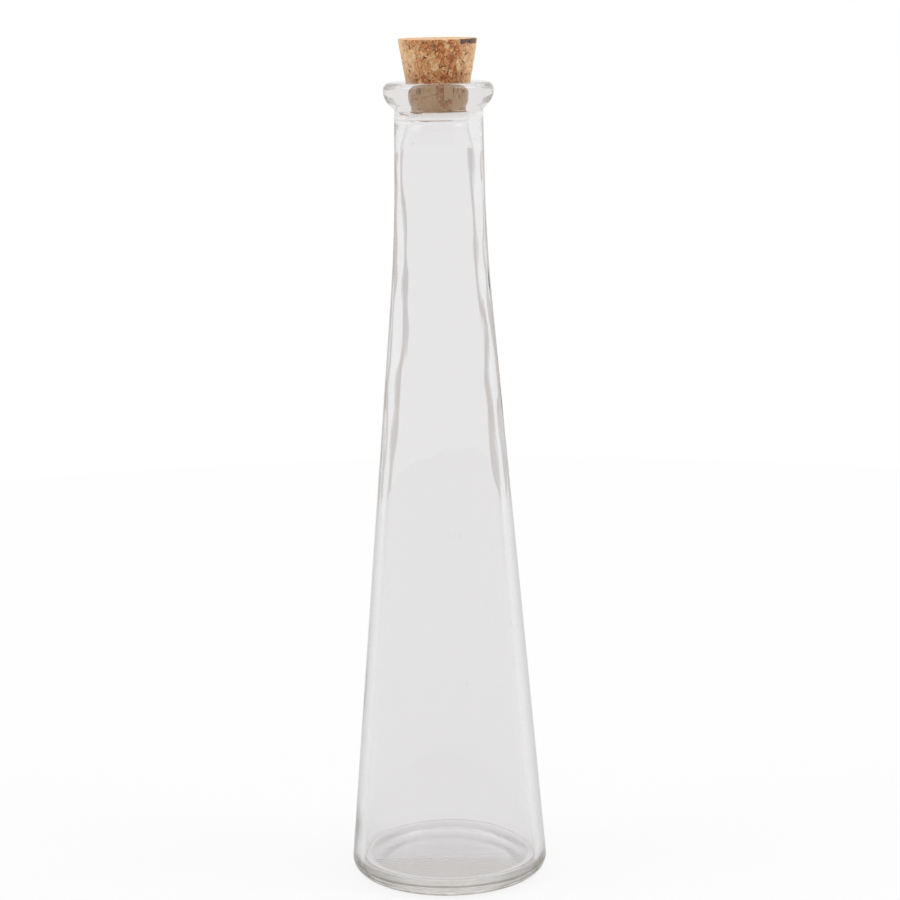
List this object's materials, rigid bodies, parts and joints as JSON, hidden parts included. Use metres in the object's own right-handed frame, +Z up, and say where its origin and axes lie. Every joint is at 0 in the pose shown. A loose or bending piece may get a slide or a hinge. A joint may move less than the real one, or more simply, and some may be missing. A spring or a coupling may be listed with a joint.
{
  "type": "corked glass bottle",
  "caption": "Tall conical bottle of clear glass with a slim neck, a rounded lip and a tapered cork stopper.",
  "frame": {"origin": "centre of the base, on the plane that the bottle stands on", "axes": "+Z up along the bottle's axis, towards the cork; the bottle is round, so +X and +Y are any two directions across it"},
  "size_m": [0.062, 0.062, 0.2633],
  "materials": {
    "clear_glass": "smooth clear soda-lime glass, slightly wavy inside",
    "cork": "pressed cork granules, matt, pitted"
  },
  "bodies": {
    "bottle": {"glass_bottle": "clear_glass"},
    "cork": {"cork_stopper": "cork"}
  },
  "joints": [
    {"name": "cork_pull", "type": "slide", "parent": "bottle", "child": "cork", "axis": [0, 0, 1], "range_m": [0, 0.04]}
  ]
}
